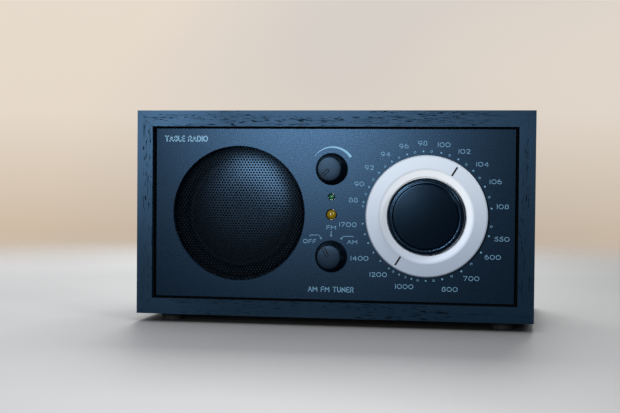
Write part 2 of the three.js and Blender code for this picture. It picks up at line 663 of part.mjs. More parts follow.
// Round sockets: each has a flange on the panel and a blind bore, and one has a pin in its bore.
function makeRoundSockets() {
  const socket = ({ radius, bore, flange, front }, bottom) => {
    const rim = seatAt + 1.2;
    return turned([[0, front], [radius, front], [radius, seatAt], [flange, seatAt], [flange, rim],
      [bore, rim], ...bottom], ROUND.small);
  };
  for (const { name, x } of JACKS) {
    const made = socket(JACK, [[JACK.bore, JACK.floor], [0, JACK.floor]]);
    add(name, made, looks.blackPlastic, { x, z: JACK.z });
  }
  const pinTip = seatAt - 1;
  const dc = socket(DC, [[DC.bore, DC.floor], [DC.pin, DC.floor], [DC.pin, pinTip], [0, pinTip]]);
  add("dc_socket", dc, looks.blackPlastic, { x: DC.x, z: DC.z });
}

// Screw-type aerial socket with a hexagonal base.
function makeAerialSocket() {
  const { x, z, radius, bore, boreDepth, front } = AERIAL;
  const end = CABINET.depth + SOCKET_REACH;
  const barrel = turned([[0, front], [radius, front], [radius, end], [bore, end],
    [bore, end - boreDepth], [0, end - boreDepth]], ROUND.small);
  const base = plate(hexagon(AERIAL.nut), seatAt, seatAt + AERIAL.nutHeight);
  const nut = base.subtract(rod(radius - 0.5, seatAt - 1, seatAt + 3));
  add("fm_antenna_socket", barrel.add(nut), looks.steel, { x, z });
}

// Aerial switch: a housing behind the panel and a slider that stands out through the slot.
function makeAerialSwitch() {
  const place = { x: SWITCH.x, z: SWITCH.z };
  const pocketFloor = 110;
  const back = rearInside - GAP;
  const pocket = block([-slotHalf, pocketFloor, -2], [slotHalf, back + 1, 2]);
  const housing = block([-8, pocketFloor - 3, -4], [8, back, 4]).subtract(pocket);
  add("antenna_switch", housing, looks.steel, place);
  const half = SWITCH.slider / 2;
  const slider = block([-half, pocketFloor + GAP, -1.6], [half, rearFace + 2, 1.6]);
  add("antenna_slider", slider.translate(-SWITCH.travel / 2, 0, 0), looks.blackPlastic, place);
}

// Pan-head panel screws with a crossed slot.
function makeRearScrews() {
  const { shank, head, headHeight, length, slot } = SCREW;
  const [slotHalfLength, slotHalfWidth, slotDepth] = slot;
  const top = seatAt + headHeight;
  const tip = rearInside - length;
  let screw = turned([[0, tip + GAP], [shank, tip + 1.5], [shank, seatAt], [head, seatAt],
    [head, top - 0.4], [head - 0.8, top], [0, top]], 12);
  for (const [w, h] of [[slotHalfLength, slotHalfWidth], [slotHalfWidth, slotHalfLength]])
    screw = screw.subtract(block([-w, top - slotDepth, -h], [w, top + 1, h]));
  let number = 0;
  for (const z of screwZ)
    for (const side of [-1, 1]) {
      number += 1;
      add("rear_screw_" + number, screw, looks.steel, { x: side * screwX, z });
    }
}

makeCabinet();
makeFeet();
makeRails();
makeFrontPanel();
makeLeds();
makeGrille();
makeBasket();
makeMagnet();
makeSurround();
makeCone();
makeControl({ z: KNOB.volumeZ, knob: "volume_knob", shaft: "volume_shaft", body: "volume_pot",
  nut: "volume_nut", turn: TURNS_AT_REST.volume });
makeControl({ z: KNOB.bandZ, knob: "band_knob", shaft: "band_shaft", body: "band_switch",
  nut: "band_nut", turn: TURNS_AT_REST.band });
makeTuning();
makeBoard();
makeTransformer();
makeAerial();
makePort();
makeRearPanel();
makeMainsInlet();
makeRoundSockets();
makeAerialSocket();
makeAerialSwitch();
makeRearScrews();

export default root;
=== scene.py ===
"""The looks of a table radio: stained wooden cabinet, speaker behind a perforated grille, and a geared dial.

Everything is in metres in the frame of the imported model: the front faces -Y and the feet stand on z = 0.
"""
import math

import bmesh
import bpy
from mathutils import Matrix, Vector


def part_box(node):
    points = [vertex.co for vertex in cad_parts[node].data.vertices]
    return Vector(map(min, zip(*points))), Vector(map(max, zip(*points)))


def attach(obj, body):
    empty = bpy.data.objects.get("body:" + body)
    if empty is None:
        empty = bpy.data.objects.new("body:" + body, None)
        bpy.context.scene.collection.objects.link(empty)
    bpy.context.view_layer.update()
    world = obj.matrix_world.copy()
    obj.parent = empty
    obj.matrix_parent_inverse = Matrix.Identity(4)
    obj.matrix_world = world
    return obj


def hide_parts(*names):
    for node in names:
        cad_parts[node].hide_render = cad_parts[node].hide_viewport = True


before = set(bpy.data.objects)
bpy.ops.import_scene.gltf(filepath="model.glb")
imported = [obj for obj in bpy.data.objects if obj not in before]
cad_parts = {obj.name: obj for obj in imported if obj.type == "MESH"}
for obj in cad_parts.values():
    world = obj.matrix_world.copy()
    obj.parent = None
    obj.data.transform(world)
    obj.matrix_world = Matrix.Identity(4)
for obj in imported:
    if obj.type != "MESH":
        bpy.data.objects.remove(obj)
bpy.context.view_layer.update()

MM = 0.001


# ---- Places taken from the frame ----
def low(node):
    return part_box(node)[0]


def high(node):
    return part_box(node)[1]


def centre(node):
    return (low(node) + high(node)) / 2


FRONT = low("cabinet_top").y  # the cabinet's front edge
UNDER = low("cabinet_bottom").z
PANEL = low("front_panel").y  # the panel's front face
PANEL_THICK = 3 * MM
SPEAKER_OPENING = 36 * MM  # its radius
PANEL_BACK = PANEL + PANEL_THICK
REAR = high("rear_panel").y
DIAL = centre("dial_ring")
SPEAKER = centre("speaker_grille")
VOLUME = centre("volume_knob")
BAND = centre("band_knob")


# ---- Materials ----
class Nodes:
    """Short calls for the nodes that the materials and the world share."""

    def __init__(self, tree, space):
        self.tree = tree
        self.coordinates = self.node("ShaderNodeTexCoord").outputs[space]

    def node(self, kind, **settings):
        made = self.tree.nodes.new(kind)
        for key, value in settings.items():
            setattr(made, key, value)
        return made

    def join(self, value, socket):
        """A number is written on the socket, anything else is linked to it."""
        if isinstance(value, bpy.types.NodeSocket):
            self.tree.links.new(value, socket)
        else:
            socket.default_value = value

    def noise(self, scale, detail=3.0, where=None, rough=0.5, distortion=0.0):
        made = self.node("ShaderNodeTexNoise")
        self.join(where or self.coordinates, made.inputs["Vector"])
        made.inputs["Scale"].default_value = scale
        made.inputs["Detail"].default_value = detail
        made.inputs["Roughness"].default_value = rough
        made.inputs["Distortion"].default_value = distortion
        return made.outputs["Fac"]

    def ramp(self, value, *stops):
        """stops are (place, number) or (place, colour) pairs."""
        made = self.node("ShaderNodeValToRGB")
        self.join(value, made.inputs["Fac"])
        elements = made.color_ramp.elements
        while len(elements) < len(stops):
            elements.new(0.5)
        for element, (place, colour) in zip(elements, stops):
            element.position = place
            shade = colour if hasattr(colour, "__len__") else (colour,) * 3
            element.color = (*shade, 1)
        return made.outputs["Color"]

    def spread(self, value, start, end, kind="SMOOTHSTEP"):
        """start and end are (value, result) pairs, with a smooth or LINEAR change between them."""
        made = self.node("ShaderNodeMapRange", interpolation_type=kind)
        self.join(value, made.inputs["Value"])
        made.inputs["From Min"].default_value, made.inputs["To Min"].default_value = start
        made.inputs["From Max"].default_value, made.inputs["To Max"].default_value = end
        return made.outputs["Result"]

    def math(self, operation, a, b):
        made = self.node("ShaderNodeMath", operation=operation)
        self.join(a, made.inputs[0])
        self.join(b, made.inputs[1])
        return made.outputs[0]

    def vector(self, operation, a, b=None):
        made = self.node("ShaderNodeVectorMath", operation=operation)
        self.join(a, made.inputs[0])
        if b is not None:
            self.join(b, made.inputs[1])
        return made.outputs["Value" if operation in ("LENGTH", "DOT_PRODUCT") else "Vector"]

    def axis(self, value, name):
        """The X, Y or Z of a vector."""
        made = self.node("ShaderNodeSeparateXYZ")
        self.join(value, made.inputs[0])
        return made.outputs[name]

    def mix(self, amount, a, b, blend="MIX"):
        made = self.node("ShaderNodeMix", data_type="RGBA", blend_type=blend)
        self.join(amount, made.inputs["Factor"])
        for value, socket in ((a, made.inputs["A"]), (b, made.inputs["B"])):
            self.join((*value, 1) if isinstance(value, tuple) else value, socket)
        return made.outputs["Result"]


class Shader(Nodes):
    """A node material around one Principled BSDF."""

    def __init__(self, name):
        self.material = bpy.data.materials.new(name)
        self.material.use_nodes = True
        super().__init__(self.material.node_tree, "Object")
        self.surface = self.tree.nodes["Principled BSDF"]

    def stretched(self, scale, turn=(0, 0, 0)):
        mapping = self.node("ShaderNodeMapping")
        self.join(self.coordinates, mapping.inputs["Vector"])
        mapping.inputs["Scale"].default_value = scale
        mapping.inputs["Rotation"].default_value = turn
        return mapping.outputs["Vector"]

    def bump(self, height, strength, distance):
        made = self.node("ShaderNodeBump")
        self.join(height, made.inputs["Height"])
        made.inputs["Strength"].default_value = strength
        made.inputs["Distance"].default_value = distance
        self.join(made.outputs["Normal"], self.surface.inputs["Normal"])

    def set(self, **values):
        """base_color sets the surface's Base Color, and so on."""
        for name, value in values.items():
            socket = self.surface.inputs[name.replace("_", " ").title().replace("Ior", "IOR")]
            self.join((*value, 1) if isinstance(value, tuple) else value, socket)


def mottled(name, colour, roughness, metallic=0.0, spread=0.15, grain=1200, relief=0.25,
            relief_depth=0.05 * MM, stretch=(1, 1, 1), **extra):
    """A moulded, painted or plated surface: its colour, roughness and relief all vary finely."""
    s = Shader(name)
    where = s.stretched(stretch)
    fine = s.noise(grain, 4, where, 0.6)
    broad = s.noise(28, 2, where)
    dark = tuple(c * (1 - spread) for c in colour)
    light = tuple(min(1, c * (1 + spread)) for c in colour)
    tone = s.mix(s.ramp(broad, (0.35, 0.0), (0.65, 1.0)), dark, light)
    speckled = s.mix(s.ramp(fine, (0.4, 0.0), (0.75, 0.35)), tone, light)
    s.set(base_color=speckled, metallic=metallic, **extra)
    s.join(s.ramp(fine, (0.3, roughness * 0.88), (0.7, min(1, roughness * 1.12))),
           s.surface.inputs["Roughness"])
    s.bump(fine, relief, relief_depth)
    return s.material


BLUE_SHEEN = (0.27, 0.57, 1.0)  # of the stained wood, the panel and its printing
KNOB_SHEEN = (0.30, 0.60, 1.0)  # of the large knob and the grille


def stained_wood(name, along, seed):
    """Open-pored veneer stained blue-black, with a painted sheen that follows the light's falloff. along is
    the axis (0, 1 or 2) that the grain follows.
    """
    s = Shader(name)
    # Painted sheen: the specular level is set by place, strongest at the upper left and weakest at the lower
    # right, as the light falls off across the front.
    painted_sheen = s.math("MULTIPLY", s.spread(s.axis(s.coordinates, "X"), (-0.100, 1.0), (-0.050, 0.42)),
                   s.spread(s.axis(s.coordinates, "Z"), (0.020, 0.30), (0.105, 1.0)))
    s.coordinates = s.vector("ADD", s.coordinates, (seed * 0.37, seed * 0.71, seed * 0.53))

    def drawn_out(share, turn=(0, 0, 0)):
        return s.stretched([share if axis == along else 1.0 for axis in range(3)], turn)

    fibre_where = drawn_out(0.07)
    growth = s.noise(75, 3, fibre_where, 0.55, 1.2)
    fibres = s.noise(900, 3, fibre_where, 0.6)
    pores = s.noise(2300, 1, drawn_out(0.10, (0.02, 0.03, 0.02)), 0.45, 0.2)
    bands = s.noise(260, 1, drawn_out(0.05), 0.5, 0.4)
    early = s.ramp(bands, (0.44, 0.0), (0.56, 1.0))
    pore = s.math("MULTIPLY", s.ramp(pores, (0.61, 0.0), (0.68, 0.95)), early)
    hair = s.math("MULTIPLY", s.ramp(fibres, (0.52, 0.0), (0.72, 0.35)), early)
    open_grain = s.math("MAXIMUM", pore, hair)
    tone = s.ramp(growth, (0.30, (0.004, 0.012, 0.022)), (0.55, (0.007, 0.017, 0.030)),
                  (0.75, (0.003, 0.009, 0.018)))
    fine = s.mix(s.ramp(fibres, (0.35, 0.0), (0.7, 0.35)), tone, (0.012, 0.026, 0.044))
    s.set(base_color=s.mix(open_grain, fine, (0.001, 0.003, 0.006)), specular_tint=BLUE_SHEEN)
    s.join(s.ramp(open_grain, (0.0, 0.38), (1.0, 0.85)), s.surface.inputs["Roughness"])
    # The specular level is low in the pores and scaled by the painted sheen.
    s.join(s.math("MULTIPLY", s.ramp(open_grain, (0.0, 1.0), (0.8, 0.0)), painted_sheen),
           s.surface.inputs["Specular IOR Level"])
    height = s.math("SUBTRACT", s.math("MULTIPLY", fibres, 0.25), open_grain)
    s.bump(height, 0.4, 0.08 * MM)
    return s.material


WOOD_ACROSS = stained_wood("stained_veneer_across", 0, 1)
WOOD_UNDER = stained_wood("stained_veneer_under", 0, 4)
WOOD_LEFT = stained_wood("stained_veneer_left", 2, 2)
WOOD_RIGHT = stained_wood("stained_veneer_right", 2, 3)
PANEL_PAINT = mottled("panel_paint", (0.0012, 0.0042, 0.0095), 0.28, spread=0.10, grain=1300, relief=0.5,
                      relief_depth=0.03 * MM, specular_tint=BLUE_SHEEN, specular_ior_level=0.32)
PRINT = mottled("screen_print", (0.19, 0.37, 0.51), 0.34, spread=0.06, grain=3000, relief=0.1,
                specular_tint=BLUE_SHEEN, specular_ior_level=0.5)
TITLE_PRINT = mottled("title_print", (0.27, 0.48, 0.62), 0.34, spread=0.06, grain=3000, relief=0.1,
                      specular_tint=BLUE_SHEEN, specular_ior_level=0.5)
KNOB_BLACK = mottled("knob_black", (0.0014, 0.004, 0.008), 0.33, spread=0.08, grain=4000, relief=0.15,
                     relief_depth=0.02 * MM, specular_tint=(0.34, 0.62, 1.0), specular_ior_level=0.24)
GRILLE_PAINT = mottled("grille_paint", (0.0008, 0.0025, 0.005), 0.20, grain=3000, relief=0.1,
                       specular_tint=KNOB_SHEEN, specular_ior_level=0.20)


def from_dial(s):
    """The vector from the dial's centre to a point, and the point's distance from the dial's axis."""
    out = s.vector("SUBTRACT", s.coordinates, DIAL)
    return out, s.vector("LENGTH", s.vector("MULTIPLY", out, (1, 0, 1)))


def knob_gloss():
    """Smooth black moulding, glossier on the rim than on the face."""
    s = Shader("knob_gloss")
    fine = s.noise(4000, 3)
    radius = from_dial(s)[1]
    s.set(base_color=s.mix(s.ramp(fine, (0.4, 0.0), (0.7, 0.3)),
                           (0.001, 0.0032, 0.007), (0.002, 0.005, 0.010)), specular_tint=KNOB_SHEEN)
    s.join(s.spread(radius, (17.3 * MM, 0.20), (17.9 * MM, 1.0)), s.surface.inputs["Specular IOR Level"])
    s.join(s.ramp(fine, (0.3, 0.15), (0.7, 0.19)), s.surface.inputs["Roughness"])
    s.bump(fine, 0.1, 0.01 * MM)
    return s.material


KNOB_GLOSS = knob_gloss()


def dial_silver():
    """Satin silver with painted light: paler towards the top as painted light from above, and paler in the
    cove round the knob than on the flat ring as a painted highlight.
    """
    s = Shader("satin_silver")
    fine = s.noise(5000, 3)
    out, radius = from_dial(s)
    ring = s.spread(radius, (23.3 * MM, 0), (25.2 * MM, 1))
    # Painted light from above: the ring is paler towards its top.
    upward = s.spread(s.axis(out, "Z"), (-36 * MM, 0), (36 * MM, 1))
    flat_ring_painted_light = s.mix(upward, (0.31, 0.38, 0.48), (0.58, 0.66, 0.75))
    # Painted highlight: the cove round the knob is paler than the flat ring all round.
    cove_painted_highlight = s.mix(upward, (0.50, 0.59, 0.72), (0.95, 0.98, 1.0))
    tone = s.mix(ring, cove_painted_highlight, flat_ring_painted_light)
    s.set(base_color=s.mix(s.ramp(fine, (0.3, 0.0), (0.7, 0.05)), tone, (0.9, 0.93, 1.0)), metallic=0.10)
    s.join(s.ramp(fine, (0.3, 0.38), (0.7, 0.44)), s.surface.inputs["Roughness"])
    s.bump(fine, 0.1, 0.01 * MM)
    return s.material


SILVER = dial_silver()
LABEL_PRINT = mottled("label_print", (0.42, 0.43, 0.44), 0.6, spread=0.06, grain=3000, relief=0.1)
# Near-black matte for the dial's pointer marks, and painted shade in the knobs' index moats.
MARK_AND_MOAT_SHADE = mottled("pointer_black_and_moat_shade", (0.001, 0.001, 0.002), 0.7, grain=3000)
REAR_PLASTIC = mottled("rear_plastic", (0.010, 0.011, 0.013), 0.5, grain=1300, relief=0.7,
                       relief_depth=0.15 * MM, specular_ior_level=0.3)
SOCKET_PLASTIC = mottled("socket_plastic", (0.015, 0.016, 0.018), 0.38, grain=2500)
# A black matte fill for the gap round the panel: painted shade.
GAP_SHADE_BLACK = mottled("painted_gap_shade", (0.003, 0.003, 0.003), 0.95, grain=1600, specular_ior_level=0.0)
RUBBER = mottled("rubber", (0.008, 0.008, 0.009), 0.8, grain=1400, relief=0.5)
STEEL = mottled("plated_steel", (0.62, 0.63, 0.65), 0.3, metallic=1.0, grain=1600, stretch=(1, 0.15, 1))
BRASS = mottled("nickelled_brass", (0.70, 0.66, 0.56), 0.26, metallic=1.0, grain=1600)
# Stained black: partly the rails' own stain, partly painted shade that keeps the gap round the panel dark.
DARK_WOOD = mottled("blackened_wood", (0.010, 0.011, 0.013), 0.8, grain=700, stretch=(1, 1, 0.08))
FERRITE = mottled("ferrite", (0.035, 0.035, 0.038), 0.65, grain=900)
PAPER = mottled("cone_paper", (0.010, 0.010, 0.011), 0.9, grain=1800, relief=0.7)
CLOTH = mottled("spider_cloth", (0.42, 0.27, 0.10), 0.85, grain=1500, relief=0.8)
COPPER = mottled("enamelled_copper", (0.60, 0.25, 0.11), 0.35, metallic=0.8, grain=2000, stretch=(1, 1, 6))
NYLON = mottled("gear_nylon", (0.72, 0.69, 0.60), 0.5, grain=1200)
SOLDER_MASK = mottled("solder_mask", (0.02, 0.15, 0.07), 0.35, spread=0.3, grain=500)


def lens(name, colour):
    """A cloudy plastic lamp lens with a glossy skin."""
    s = Shader(name)
    cloud = s.noise(900, 2)
    dark = tuple(c * 0.6 for c in colour)
    s.set(base_color=s.mix(s.ramp(cloud, (0.35, 0.0), (0.7, 1.0)), dark, colour), roughness=0.22,
          coat_weight=1.0, coat_roughness=0.04)
    s.surface.inputs["Subsurface Weight"].default_value = 0.2
    s.surface.inputs["Subsurface Radius"].default_value = (0.6 * MM, 0.6 * MM, 0.6 * MM)
    s.bump(cloud, 0.05, 0.02 * MM)
    return s.material


GREEN_LENS = lens("green_lens", (0.014, 0.17, 0.065))
AMBER_LENS = lens("amber_lens", (0.36, 0.25, 0.003))


# ---- Mesh helpers ----
CREASE = 32  # degrees between two faces, over which their edge stays sharp


def mark_creases(bm, crease):
    for edge in bm.edges:
        edge.smooth = len(edge.link_faces) == 2 and edge.calc_face_angle(0) < math.radians(crease)


def finished(name, bm, material, body, replaces=(), slot=None, crease=CREASE):
    """Turns a bmesh into a piece that rides on a body."""
    bmesh.ops.recalc_face_normals(bm, faces=bm.faces)
    for face in bm.faces:
        face.smooth = True
    mark_creases(bm, crease)
    mesh = bpy.data.meshes.new(name)
    bm.to_mesh(mesh)
    bm.free()
    mesh.materials.append(material)
    piece = bpy.data.objects.new(name, mesh)
    bpy.context.scene.collection.objects.link(piece)
    even_normals(piece)
    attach(piece, body)
    if replaces:
        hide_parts(*replaces)
    return piece


def even_normals(piece):
    """Keeps broad flat faces flat-looking beside the small roundings at their edges."""
    piece.modifiers.new("even_normals", "WEIGHTED_NORMAL").keep_sharp = True


def rounded(profile):
    """Rounds the corners of an open outline. Each point is (a, b) or (a, b, radius)."""
    steps = 4
    out = [Vector(profile[0][:2])]
    for before, here, after in zip(profile, profile[1:], profile[2:]):
        corner, radius = Vector(here[:2]), here[2] if len(here) > 2 else 0
        if not radius:
            out.append(corner)
            continue
        to_before = Vector(before[:2]) - corner
        to_after = Vector(after[:2]) - corner
        half = to_before.angle(to_after) / 2
        reach = min(radius / math.tan(half), to_before.length * 0.49, to_after.length * 0.49)
        start = corner + to_before.normalized() * reach
        end = corner + to_after.normalized() * reach
        for i in range(steps + 1):
            t = i / steps
            out.append(start.lerp(corner, t).lerp(corner.lerp(end, t), t))
    out.append(Vector(profile[-1][:2]))
    return out


def turned_mesh(profile, at, sides):
    """A solid of revolution about the line through at, along Y. The profile lists (radius, depth) in
    millimetres, with the depth counted from the cabinet's front edge. It closes on itself, or ends on the
    line at both ends."""
    points = rounded(profile)
    if points[0].x > 0 and (points[0] - points[-1]).length < 1e-6:
        points.pop()
    closed = points[0].x > 0
    bm = bmesh.new()
    rings = []
    for r, depth in points:
        y = FRONT + depth * MM
        if r < 1e-6:
            rings.append([bm.verts.new((at.x, y, at.z))])
            continue
        angles = [2 * math.pi * i / sides for i in range(sides)]
        rings.append([bm.verts.new((at.x + r * MM * math.sin(a), y, at.z + r * MM * math.cos(a)))
                      for a in angles])
    pairs = list(zip(rings, rings[1:])) + ([(rings[-1], rings[0])] if closed else [])
    for one, two in pairs:
        for i in range(sides):
            j = (i + 1) % sides
            corners = [one[i % len(one)], one[j % len(one)], two[j % len(two)], two[i % len(two)]]
            unique = list(dict.fromkeys(corners))
            if len(unique) > 2:
                bm.faces.new(unique)
    return bm


def turned(name, profile, at, material, body, sides, **extra):
    return finished(name, turned_mesh(profile, at, sides), material, body, **extra)


def skin(bm, sections, closed=False, caps=False):
    """Faces between each section and the next. closed joins the last one to the first."""
    pairs = list(zip(sections, sections[1:])) + ([(sections[-1], sections[0])] if closed else [])
    for one, two in pairs:
        for k in range(len(one)):
            m = (k + 1) % len(one)
            bm.faces.new((one[k], one[m], two[m], two[k]))
    if caps:
        bm.faces.new(sections[0])
        bm.faces.new(reversed(sections[-1]))


def box_mesh(bm, lowest, highest):
    made = bmesh.ops.create_cube(bm, size=1)
    size = Vector(highest) - Vector(lowest)
    middle = (Vector(highest) + Vector(lowest)) / 2
    place = Matrix.Translation(middle) @ Matrix.Diagonal((*size, 1))
    bmesh.ops.transform(bm, matrix=place, verts=made["verts"])


def carved(piece, cutter_mesh, material=None):
    """Cuts the cutter out of the piece, and leaves the result in the piece's own mesh. The faces of the
    cut get the material, or the piece's own one."""
    mesh = bpy.data.meshes.new("cutter")
    bmesh.ops.recalc_face_normals(cutter_mesh, faces=cutter_mesh.faces)
    cutter_mesh.to_mesh(mesh)
    cutter_mesh.free()
    mesh.materials.append(material or piece.data.materials[0])
    cutter = bpy.data.objects.new("cutter", mesh)
    bpy.context.scene.collection.objects.link(cutter)
    piece.modifiers.clear()
    boolean = piece.modifiers.new("cut", "BOOLEAN")
    boolean.operation = "DIFFERENCE"
    boolean.solver = "EXACT"
    boolean.material_mode = "TRANSFER"
    boolean.object = cutter
    bpy.context.view_layer.update()
    result = bpy.data.meshes.new_from_object(piece.evaluated_get(bpy.context.evaluated_depsgraph_get()))
    piece.modifiers.clear()
    piece.data = result
    bpy.data.objects.remove(cutter)
    bm = bmesh.new()
    bm.from_mesh(result)
    mark_creases(bm, CREASE)
    bm.to_mesh(result)
    bm.free()
    even_normals(piece)


def clockwise(centre_at, radius_mm, degrees, y):
    """The point at that angle, clockwise from the top as seen from the front."""
    a = math.radians(degrees)
    r = radius_mm * MM
    return Vector((centre_at.x + r * math.sin(a), y, centre_at.z + r * math.cos(a)))


# ---- Camera ----
def make_camera():
    """Looks at the front from the right, level with the cabinet's upper half."""
    place = Vector((0.0991, FRONT - 0.640, UNDER + 0.0757))
    yaw, pitch, roll = (math.radians(a) for a in (9.77, -1.46, 0.505))
    ahead = Vector((-math.sin(yaw) * math.cos(pitch), math.cos(yaw) * math.cos(pitch), math.sin(pitch)))
    level = Vector((math.cos(yaw), math.sin(yaw), 0))
    upward = level.cross(ahead)
    right = level * math.cos(roll) + upward * math.sin(roll)
    up = upward * math.cos(roll) - level * math.sin(roll)
    camera = bpy.data.objects.new("camera", bpy.data.cameras.new("camera"))
    camera.data.lens = 71.2
    camera.data.sensor_width = 36
    camera.data.clip_start = 0.01
    turn = Matrix((right, up, -ahead)).transposed().to_4x4()
    camera.matrix_world = Matrix.Translation(place) @ turn
    bpy.context.scene.collection.objects.link(camera)
    bpy.context.scene.camera = camera


# ---- Cabinet ----
def make_cabinet():
    """Four boards cut out of one shell with softened edges, so that their mitres meet."""
    x, z0, z1 = high("cabinet_right_side").x, UNDER, high("cabinet_top").z
    y0, y1 = FRONT, high("cabinet_top").y
    wall = z1 - low("cabinet_top").z
    soften, seam = 0.7 * MM, 0.03 * MM
    port_radius, port_reach = 12.3 * MM, 30 * MM
    shell = bmesh.new()
    rims = []
    for y in (y0, y1):
        outer = [shell.verts.new(p) for p in ((-x, y, z0), (x, y, z0), (x, y, z1), (-x, y, z1))]
        inner = [shell.verts.new(p) for p in ((wall - x, y, z0 + wall), (x - wall, y, z0 + wall),
                                              (x - wall, y, z1 - wall), (wall - x, y, z1 - wall))]
        rims.append((outer, inner))
    (outer0, inner0), (outer1, inner1) = rims
    for i in range(4):
        j = (i + 1) % 4
        shell.faces.new((outer0[i], outer0[j], inner0[j], inner0[i]))
        shell.faces.new((outer1[i], inner1[i], inner1[j], outer1[j]))
        shell.faces.new((outer0[i], outer1[i], outer1[j], outer0[j]))
        shell.faces.new((inner0[i], inner0[j], inner1[j], inner1[i]))
    # The mitre lines across the front and rear rims are flat, so they aren't softened.
    edges = [e for e in shell.edges if e.calc_face_angle(0) > 0.1]
    bmesh.ops.bevel(shell, geom=edges, offset=soften, segments=4, affect="EDGES", profile=0.6)
    bmesh.ops.recalc_face_normals(shell, faces=shell.faces)
    boards = {
        "top": (((x, z1), (1, -1)), ((-x, z1), (-1, -1)), WOOD_ACROSS, "cabinet_top"),
        "bottom": (((x, z0), (1, 1)), ((-x, z0), (-1, 1)), WOOD_UNDER, "cabinet_bottom"),
        "left": (((-x, z1), (1, 1)), ((-x, z0), (1, -1)), WOOD_LEFT, "cabinet_left_side"),
        "right": (((x, z1), (-1, 1)), ((x, z0), (-1, -1)), WOOD_RIGHT, "cabinet_right_side"),
    }
    for name, (*planes, material, node) in boards.items():
        board = shell.copy()
        if name in ("top", "bottom"):
            # The two mitre planes only meet in the opposite board, so that board is cut off first.
            planes.insert(0, ((0, (z0 + z1) / 2), (0, planes[0][1][1])))
        for (px, pz), (nx, nz) in planes:
            normal = Vector((nx, 0, nz)).normalized()
            geometry = board.verts[:] + board.edges[:] + board.faces[:]
            bmesh.ops.bisect_plane(board, geom=geometry, plane_co=Vector((px, 0, pz)) - normal * seam,
                                   plane_no=normal, clear_outer=True)
            bmesh.ops.holes_fill(board, edges=[e for e in board.edges if e.is_boundary])
        piece = finished("board_" + name, board, material, "cabinet", [node], "cabinet_veneer")
        if name == "bottom":
            port = centre("bass_port")
            cutter = bmesh.new()
            bmesh.ops.create_cone(cutter, cap_ends=True, segments=96, radius1=port_radius,
                                  radius2=port_radius, depth=port_reach,
                                  matrix=Matrix.Translation((port.x, port.y, UNDER + wall / 2)))
            carved(piece, cutter)
    shell.free()


# ---- Front panel and grille ----
def lamp_radius(node):
    """The lens's radius. The lamp's flange stands out from it behind the panel."""
    flange = 0.5 * MM
    return (high(node).x - low(node).x) / 2 - flange


def make_panel():
    """A plate with a fine bevel round its edge and round each hole."""
    lowest, highest = low("front_panel"), high("front_panel")
    bevel, lamp_gap = 0.2 * MM, 0.32 * MM
    curve = bpy.data.curves.new("panel", "CURVE")
    curve.dimensions = "2D"
    curve.fill_mode = "BOTH"
    curve.extrude = PANEL_THICK / 2 - bevel
    curve.bevel_depth = bevel
    curve.bevel_resolution = 2
    curve.offset = -bevel
    corners = [(lowest.x, lowest.z), (highest.x, lowest.z), (highest.x, highest.z), (lowest.x, highest.z)]
    dial_hole, knob_hole = 5.4 * MM, 4.2 * MM
    circles = [(SPEAKER, SPEAKER_OPENING), (DIAL, dial_hole), (VOLUME, knob_hole), (BAND, knob_hole)]
    circles += [(centre(name), lamp_radius(name) + lamp_gap) for name in ("power_led", "tuning_led")]
    outlines = [corners]
    for at, radius in circles:
        sides = 160 if radius > 10 * MM else 48
        turn = [2 * math.pi * i / sides for i in range(sides)]
        outlines.append([(at.x + radius * math.cos(a), at.z + radius * math.sin(a)) for a in turn])
    for outline in outlines:
        spline = curve.splines.new("POLY")
        spline.points.add(len(outline) - 1)
        for point, (px, pz) in zip(spline.points, outline):
            point.co = (px, pz, 0, 1)
        spline.use_cyclic_u = True
    bm = mesh_of_curve(curve)
    bmesh.ops.rotate(bm, verts=bm.verts, matrix=Matrix.Rotation(math.pi / 2, 3, "X"))
    bmesh.ops.translate(bm, verts=bm.verts, vec=(0, PANEL + PANEL_THICK / 2, 0))
    finished("fascia", bm, PANEL_PAINT, "cabinet", ["front_panel"], "panel_paint")


def make_gasket():
    """Painted shade: a black matte fill that closes the gap round the panel, set back from its front face, so
    that the gap reads dark.
    """
    set_back = 1.4 * MM
    near, far = PANEL + set_back, PANEL_BACK
    left, right = high("cabinet_left_side").x, low("cabinet_right_side").x
    bottom, top = high("cabinet_bottom").z, low("cabinet_top").z
    inner_low, inner_high = low("front_panel"), high("front_panel")
    bm = bmesh.new()
    box_mesh(bm, (left, near, bottom), (inner_low.x, far, top))
    box_mesh(bm, (inner_high.x, near, bottom), (right, far, top))
    box_mesh(bm, (inner_low.x, near, bottom), (inner_high.x, far, inner_low.z))
    box_mesh(bm, (inner_low.x, near, inner_high.z), (inner_high.x, far, top))
    finished("panel_gap_shade", bm, GAP_SHADE_BLACK, "cabinet", slot="foam_rubber")


def mesh_of_curve(curve):
    holder = bpy.data.objects.new(curve.name, curve)
    bpy.context.scene.collection.objects.link(holder)
    bpy.context.view_layer.update()
    mesh = bpy.data.meshes.new_from_object(holder.evaluated_get(bpy.context.evaluated_depsgraph_get()))
    bpy.data.objects.remove(holder)
    bm = bmesh.new()
    bm.from_mesh(mesh)
    bpy.data.meshes.remove(mesh)
    return bm


